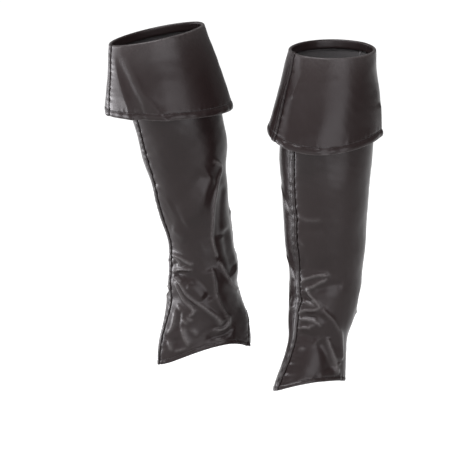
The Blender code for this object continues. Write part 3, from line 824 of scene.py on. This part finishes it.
def strip(cover, part, looks):
    """The strip beside the front seam of the shaft or of the cuff, on the wearer's right."""
    across = strip_columns()[None, :]
    if part == "shaft":
        length = cover.hem.drop
        places = np.arange(STRIP_TOP, length - 3.5, STRIP_STEP)
        places = np.concatenate([places, length - STRIP_EDGE[::-1]])[:, None]
        half = columns_at(cover.shaft, places)[0]
        turns = -np.degrees((SEAM_GAP / 2 + across) / half)
        turns = turns - np.degrees(strip_wander(cover, across, places) / half)
        top = edge_drop(cover.rim, turns) + ROLL
        hem = edge_drop(cover.hem, turns)
        down = top + places / length * (hem - top)
        skin, from_end = shaft_skin, hem - down
    else:
        length = cover.cuff_hem.drop
        turns = cover.cuff_turn - np.degrees((SEAM_GAP / 2 + across) / cover.cuff.side)
        down = [np.linspace(0.5, 1, 9)[:-1], np.linspace(1, 1.975, 70)]
        down = np.concatenate(down + [2 - STRIP_EDGE[::-1] / length])[:, None]
        skin, from_end = cuff_skin, (2 - down) * length
    turns, down = np.broadcast_arrays(turns, down)
    base = skin(cover, turns, down)
    normal = skin_normals(skin, cover, turns, down)
    lift = strip_lift(cover, across, -base[..., 2]) - edge_inset(from_end, STRIP_CLOTH / 2)
    top_face = base + normal * lift[..., None]
    under = base + normal * STRIP_UNDER
    worn_and_highlit = np.broadcast_to(STRIP_WEAR * hill(to_strip_edge(across), EDGE_WEAR_REACH), lift.shape)
    top_face, under, worn_and_highlit = top_face[:, ::-1], under[:, ::-1], worn_and_highlit[:, ::-1]
    return wall(cover, f"{part}_strip", top_face, under, 1, worn_and_highlit, [looks["strip"]])


# A stitch's rings: their places along it, their rise, and their shares of its girth.
STITCH_RINGS = (
    (-0.46, -0.35, 0.4),
    (-0.36, 0.02, 0.9),
    (0.0, 0.12, 1.0),
    (0.36, 0.02, 0.9),
    (0.46, -0.35, 0.4),
)
STITCH_SIDES = 6
STITCH_CAP = ((0, 1, 2, 3), (0, 3, 4, 5))  # the corners of the two faces that close an end


def stitches(cover, name, rows, looks):
    """Stitches of thread in rows, each a short rounded length that dips at both ends."""
    middles, directions, normals = (np.concatenate(parts) for parts in zip(*rows))
    binormals = unit(np.cross(directions, normals))
    angles = np.arange(STITCH_SIDES) * 2 * math.pi / STITCH_SIDES
    circle = (
        np.cos(angles)[None, :, None] * binormals[:, None, :]
        + np.sin(angles)[None, :, None] * normals[:, None, :]
    )
    rings = []
    for share, rise, girth in STITCH_RINGS:
        centre = middles + directions * share + normals * rise
        rings.append(centre[:, None, :] + circle * STITCH_THREAD * girth)
    points = world_points(cover, np.stack(rings, axis=1).reshape(-1, 3))
    faces = []
    last = (len(STITCH_RINGS) - 1) * STITCH_SIDES
    for ring in range(0, last, STITCH_SIDES):
        for j in range(STITCH_SIDES):
            a, b = ring + j, ring + (j + 1) % STITCH_SIDES
            faces.append((a, a + STITCH_SIDES, b + STITCH_SIDES, b))
    for half in STITCH_CAP:
        faces.append(half)
        faces.append([last + j for j in half[::-1]])
    offsets = np.arange(len(middles)) * (last + STITCH_SIDES)
    all_faces = (np.array(faces)[None, :, :] + offsets[:, None, None]).reshape(-1, 4)
    return make_mesh(f"{cover.name}_{name}_stitches", points, [looks["thread"]], all_faces)


def stitch_places(points, normals):
    """Stitches at an even pitch along a line on the cloth: middles, directions and normals."""
    steps = np.linalg.norm(np.diff(points, axis=0), axis=1)
    place = np.concatenate([[0.0], np.cumsum(steps)])
    ends = np.arange(0.0, place[-1] - STITCH_PITCH, STITCH_PITCH)

    def read(values, at):
        return np.stack([np.interp(at, place, values[:, k]) for k in range(3)], axis=-1)

    start, end = read(points, ends), read(points, ends + STITCH_PITCH)
    return (start + end) / 2, end - start, unit(read(normals, ends + STITCH_PITCH / 2))


def stitch_rows(cover):
    """The rows of stitches of the shaft and of the cuff, on the panels that carry them: the hems
    and the vent's edges, and both edges of the strips."""
    skins = {"shaft": shaft_skin, "cuff": cuff_skin}
    rises = {"hem": HEM_STITCH_RISE, "strip": STRIP_STITCH_RISE}
    rows = {f"{part}_{place}": [] for part in skins for place in rises}

    def sew(part, place, turns, down):
        skin, rise = skins[part], rises[place]
        turns, down = np.broadcast_arrays(np.asarray(turns, float), np.asarray(down, float))
        normals = skin_normals(skin, cover, turns, down)
        line = skin(cover, turns, down) + normals * rise
        rows[f"{part}_{place}"].append(stitch_places(line, normals))

    length = cover.hem.drop
    cuff_span = cover.cuff_hem.drop - cover.rim.drop - ROLL
    turns = np.linspace(0.6, 359.4, 720) + cover.cuff_turn
    sew("cuff", "hem", turns, 2 - (CUFF_TURN_UP - STITCH_INSET) / cuff_span)
    low = length - 6
    reach = float(last_turn(cover, low, columns_at(cover.shaft, np.array(low))[0])) - 9
    turns = np.linspace(-reach, reach, 600)
    sew("shaft", "hem", turns, edge_drop(cover.hem, turns) - SHAFT_TURN_UP + STITCH_INSET)
    for across in (STITCH_INSET, STRIP_WIDTH - STITCH_INSET):
        drops = np.linspace(STRIP_TOP + 4, length - 3, 600)
        half = columns_at(cover.shaft, drops)[0]
        wander = strip_wander(cover, across, drops)
        sew("shaft", "strip", -np.degrees((SEAM_GAP / 2 + across + wander) / half), drops)
        turns = cover.cuff_turn - math.degrees((SEAM_GAP / 2 + across) / cover.cuff.side)
        sew("cuff", "strip", turns, np.linspace(1.02, 1.97, 200))
    for side_sign in (1, -1):
        for inset in (2.0, VENT_TURN_UP - STITCH_INSET):
            drops = np.linspace(cover.vent.top + 4, length - 4, 160)
            half = columns_at(cover.shaft, drops)[0]
            turns = side_sign * (last_turn(cover, drops, half) - np.degrees(inset / half))
            sew("shaft", "hem", turns, drops)
    return rows


# The looks: linear colours, and how rough the coated cloth is.
CLOTH_DARK, CLOTH_LIGHT = (0.0076, 0.0047, 0.0046), (0.0112, 0.0070, 0.0068)
STRIP_DARK, STRIP_LIGHT = (0.0066, 0.0040, 0.0039), (0.0098, 0.0061, 0.0059)
# The pale colour of rubbed cloth, also painted along the crests of folds as a highlight.
WORN_AND_HIGHLIGHT_COLOUR = (0.056, 0.051, 0.050)
KNIT_DARK, KNIT_LIGHT = (0.014, 0.013, 0.013), (0.036, 0.033, 0.033)
THREAD_COLOUR = (0.012, 0.011, 0.011)
FLOOR_COLOUR = (0.30, 0.30, 0.30)
FLOOR_GLOW = 0.95
ROUGH_LOW, ROUGH_HIGH = 0.28, 0.35


def new_node(tree, kind, **settings):
    """A node with some of its inputs or its own settings filled in."""
    node = tree.nodes.new(kind)
    for key, value in settings.items():
        if key in node.inputs:
            node.inputs[key].default_value = value
        else:
            setattr(node, key, value)
    return node


def spread(tree, source, low, high, from_low=0.3, from_high=0.7):
    """A value that runs from low to high as the source does from from_low to from_high."""
    node = tree.nodes.new("ShaderNodeMapRange")
    for socket, value in zip(node.inputs[1:5], (from_low, from_high, low, high)):
        socket.default_value = value
    tree.links.new(source, node.inputs["Value"])
    return node.outputs["Result"]


def mixed_colour(tree, factor, first, second):
    """A colour between two, the first of which may be another node's."""
    node = tree.nodes.new("ShaderNodeMix")
    node.data_type = "RGBA"
    tree.links.new(factor, node.inputs["Factor"])
    if isinstance(first, tuple):
        node.inputs[6].default_value = (*first, 1.0)
    else:
        tree.links.new(first, node.inputs[6])
    node.inputs[7].default_value = (*second, 1.0)
    return node.outputs[2]


def bumped(tree, height, strength, distance, below=None):
    node = tree.nodes.new("ShaderNodeBump")
    node.inputs["Strength"].default_value = strength
    node.inputs["Distance"].default_value = distance
    tree.links.new(height, node.inputs["Height"])
    if below is not None:
        tree.links.new(below, node.inputs["Normal"])
    return node.outputs["Normal"]


def new_material(name, colour, roughness):
    material = bpy.data.materials.new(name)
    material.use_nodes = True
    tree = material.node_tree
    shader = tree.nodes["Principled BSDF"]
    shader.inputs["Base Color"].default_value = (*colour, 1.0)
    shader.inputs["Roughness"].default_value = roughness
    place = tree.nodes.new("ShaderNodeTexCoord").outputs["Object"]
    return material, tree, shader, place


def texture(tree, place, kind, **settings):
    node = new_node(tree, f"ShaderNodeTex{kind}", **settings)
    tree.links.new(place, node.inputs["Vector"])
    return node


def leatherette(name, dark, light):
    """Smooth coated cloth: a fine pebbled grain, soft clouds in its sheen and its colour, and
    paler lines where it is rubbed at its edges, which along the crests of folds are also a painted
    highlight."""
    material, tree, shader, place = new_material(name, dark, ROUGH_LOW)
    clouds = texture(tree, place, "Noise", Scale=14.0, Detail=3.0, Roughness=0.5)
    fine = texture(tree, place, "Noise", Scale=260.0, Detail=2.0, Roughness=0.6)
    grain = texture(tree, place, "Voronoi", feature="SMOOTH_F1", Scale=1100.0, Smoothness=0.6)
    # Paler lines of rubbed edges and of painted highlights along fold crests, broken up by fine
    # noise.
    wear_and_highlight = new_node(tree, "ShaderNodeAttribute", attribute_name="wear_and_highlight").outputs["Fac"]
    uneven = tree.nodes.new("ShaderNodeMath")
    uneven.operation = "MULTIPLY"
    tree.links.new(wear_and_highlight, uneven.inputs[0])
    tree.links.new(spread(tree, fine.outputs["Fac"], low=0.45, high=1.0), uneven.inputs[1])
    colour = mixed_colour(tree, clouds.outputs["Fac"], dark, light)
    colour = mixed_colour(tree, uneven.outputs["Value"], colour, WORN_AND_HIGHLIGHT_COLOUR)
    tree.links.new(colour, shader.inputs["Base Color"])
    rough = spread(tree, clouds.outputs["Fac"], ROUGH_LOW, ROUGH_HIGH)
    tree.links.new(rough, shader.inputs["Roughness"])
    normal = bumped(tree, grain.outputs["Distance"], strength=0.25, distance=0.0002)
    normal = bumped(tree, fine.outputs["Fac"], strength=0.12, distance=0.0006, below=normal)
    tree.links.new(normal, shader.inputs["Normal"])
    shader.inputs["Specular IOR Level"].default_value = 0.2
    return material


def knit_backing():
    """The cloth's back: a fine brushed knit."""
    material, tree, shader, place = new_material("knit_backing", KNIT_DARK, roughness=0.9)
    ribs = texture(tree, place, "Wave", Scale=260.0, Distortion=1.5, Detail=2.0)
    ribs.bands_direction = "DIAGONAL"
    fuzz = texture(tree, place, "Noise", Scale=900.0, Detail=2.0)
    colour = mixed_colour(tree, fuzz.outputs["Fac"], KNIT_DARK, KNIT_LIGHT)
    tree.links.new(colour, shader.inputs["Base Color"])
    normal = bumped(tree, ribs.outputs["Fac"], strength=0.3, distance=0.0004)
    normal = bumped(tree, fuzz.outputs["Fac"], strength=0.4, distance=0.0003, below=normal)
    tree.links.new(normal, shader.inputs["Normal"])
    shader.inputs["Sheen Weight"].default_value = 0.25
    shader.inputs["Sheen Roughness"].default_value = 0.5
    return material


def thread_look():
    material, tree, shader, place = new_material("thread", THREAD_COLOUR, roughness=0.5)
    twist = texture(tree, place, "Noise", Scale=2600.0, Detail=1.0)
    normal = bumped(tree, twist.outputs["Fac"], strength=0.4, distance=0.0001)
    tree.links.new(normal, shader.inputs["Normal"])
    return material


def floor_look():
    """A pale floor that glows a little, as white paper lit from below, so that it stays white far
    out."""
    material, _, shader, _ = new_material("pale_floor", FLOOR_COLOUR, roughness=0.9)
    shader.inputs["Specular IOR Level"].default_value = 0.1
    shader.inputs["Emission Color"].default_value = (1.0, 1.0, 1.0, 1.0)
    shader.inputs["Emission Strength"].default_value = FLOOR_GLOW
    return material


def make_cover(cover, looks):
    """One cover: its panels, strips and rows of stitches, all attached to the one body, with the
    model's solids of its panels and strips hidden."""
    names = {"left": ("outer", "inner"), "right": ("inner", "outer")}[cover.name]
    sewn = {name: stitches(cover, name, rows, looks) for name, rows in stitch_rows(cover).items()}
    for part, make_panel in (("shaft", shaft_panel), ("cuff", cuff_panel)):
        piece = strip(cover, part, looks)
        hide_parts(f"{cover.name}_{part}_strip")
        trims = {1: [sewn[f"{part}_hem"]], -1: [piece, sewn[f"{part}_strip"]]}
        for trim in trims[1] + trims[-1]:
            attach(trim, "root")
        for side_sign, side in zip((1, -1), names):
            panel, (flat, area) = make_panel(cover, side, side_sign, looks)
            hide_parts(f"{cover.name}_{part}_{side}")
            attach(panel, "root")


def make_looks():
    return {
        "leatherette": leatherette("leatherette_look", CLOTH_DARK, CLOTH_LIGHT),
        "strip": leatherette("strip_look", STRIP_DARK, STRIP_LIGHT),
        "backing": knit_backing(),
        "thread": thread_look(),
    }


# The studio: the photograph's camera, a pale floor and soft lights.
CAMERA_AZIMUTH, CAMERA_ELEVATION, CAMERA_DISTANCE = 58.0, 7.5, 4.5
PICTURE_PIXELS = 452
PICTURE_WIDTH = 0.687  # metres across at the covers' depth
AIM_POINT = (0.0, 0.0, -0.239)
AIM_PIXEL = (244.5, 195.5)  # where that point falls in the picture
FLOOR_LEVEL = -0.562


def direction(azimuth, elevation):
    """The direction in which a place lies from the pair, by angles in radians."""
    level = math.cos(elevation)
    return np.array([math.sin(azimuth) * level, -math.cos(azimuth) * level, math.sin(elevation)])


def add_camera():
    azimuth = math.radians(CAMERA_AZIMUTH)
    back = direction(azimuth, math.radians(CAMERA_ELEVATION))
    right = np.array([math.cos(azimuth), math.sin(azimuth), 0.0])
    up = np.cross(back, right)
    pixel = PICTURE_WIDTH / PICTURE_PIXELS
    eye = np.array(AIM_POINT) + back * CAMERA_DISTANCE
    across, rise = PICTURE_PIXELS / 2 - AIM_PIXEL[0], AIM_PIXEL[1] - PICTURE_PIXELS / 2
    aim = np.array(AIM_POINT) + right * across * pixel + up * rise * pixel
    camera = bpy.data.cameras.new("camera")
    camera.sensor_width = 36.0
    camera.lens = camera.sensor_width * CAMERA_DISTANCE / PICTURE_WIDTH
    camera.clip_end = 200.0
    obj = bpy.data.objects.new("camera", camera)
    obj.location = eye
    look = aim - eye
    obj.rotation_euler = (
        math.atan2(math.hypot(look[0], look[1]), -look[2]),
        0.0,
        math.atan2(-look[0], look[1]),
    )
    bpy.context.scene.collection.objects.link(obj)
    bpy.context.scene.camera = obj


def add_floor():
    bpy.ops.mesh.primitive_plane_add(size=60.0, location=(0.0, 0.0, FLOOR_LEVEL))
    floor = bpy.context.object
    floor.name = "floor"
    floor.data.materials.append(floor_look())


Lamp = namedtuple("Lamp", "name azimuth elevation distance width height watts")
LAMP_COLOUR = (0.98, 0.96, 1.0)
LAMPS = (
    Lamp("key_right", 83.0, 9.0, 2.8, 2.3, 1.8, 58.0),
    Lamp("low_middle", 46.0, 4.0, 2.7, 1.0, 0.45, 2.5),
    Lamp("key_middle", 22.0, 9.0, 2.8, 3.6, 1.8, 31.0),
    Lamp("key_left", -50.0, 9.0, 2.8, 2.4, 1.8, 52.0),
    Lamp("low_left", -44.0, -4.0, 1.6, 1.5, 0.34, 19.0),
    Lamp("side", -96.0, 1.0, 2.8, 1.6, 1.3, 2.5),
    Lamp("top", 24.0, 66.0, 2.6, 2.8, 0.9, 110.0),
)
LAMP_AIM = (0.0, 0.0, -0.25)
WORLD_LOW, WORLD_HIGH = 0.15, 0.55


def add_lamps():
    for lamp in LAMPS:
        azimuth, elevation = math.radians(lamp.azimuth), math.radians(lamp.elevation)
        data = bpy.data.lights.new(lamp.name, "AREA")
        data.shape = "RECTANGLE"
        data.size, data.size_y, data.energy = lamp.width, lamp.height, lamp.watts
        data.color = LAMP_COLOUR
        obj = bpy.data.objects.new(lamp.name, data)
        obj.location = np.array(LAMP_AIM) + direction(azimuth, elevation) * lamp.distance
        obj.rotation_euler = (math.pi / 2 - elevation, 0.0, azimuth)
        obj.visible_camera = False
        bpy.context.scene.collection.objects.link(obj)


def add_world():
    """White light from all round, dim at the level of the floor and brightest from above."""
    world = bpy.data.worlds.new("studio")
    world.use_nodes = True
    tree = world.node_tree
    direction = tree.nodes.new("ShaderNodeTexCoord").outputs["Generated"]
    parts = tree.nodes.new("ShaderNodeSeparateXYZ")
    tree.links.new(direction, parts.inputs["Vector"])
    strength = spread(
        tree, parts.outputs["Z"], WORLD_LOW, WORLD_HIGH, from_low=0.0, from_high=1.0
    )
    background = tree.nodes["Background"]
    background.inputs["Color"].default_value = (1.0, 1.0, 1.0, 1.0)
    tree.links.new(strength, background.inputs["Strength"])
    bpy.context.scene.world = world
    bpy.context.scene.view_settings.view_transform = "Standard"


def main():
    looks = make_looks()
    for cover in (LEFT, RIGHT):
        make_cover(cover, looks)
    add_camera()
    add_floor()
    add_lamps()
    add_world()


main()
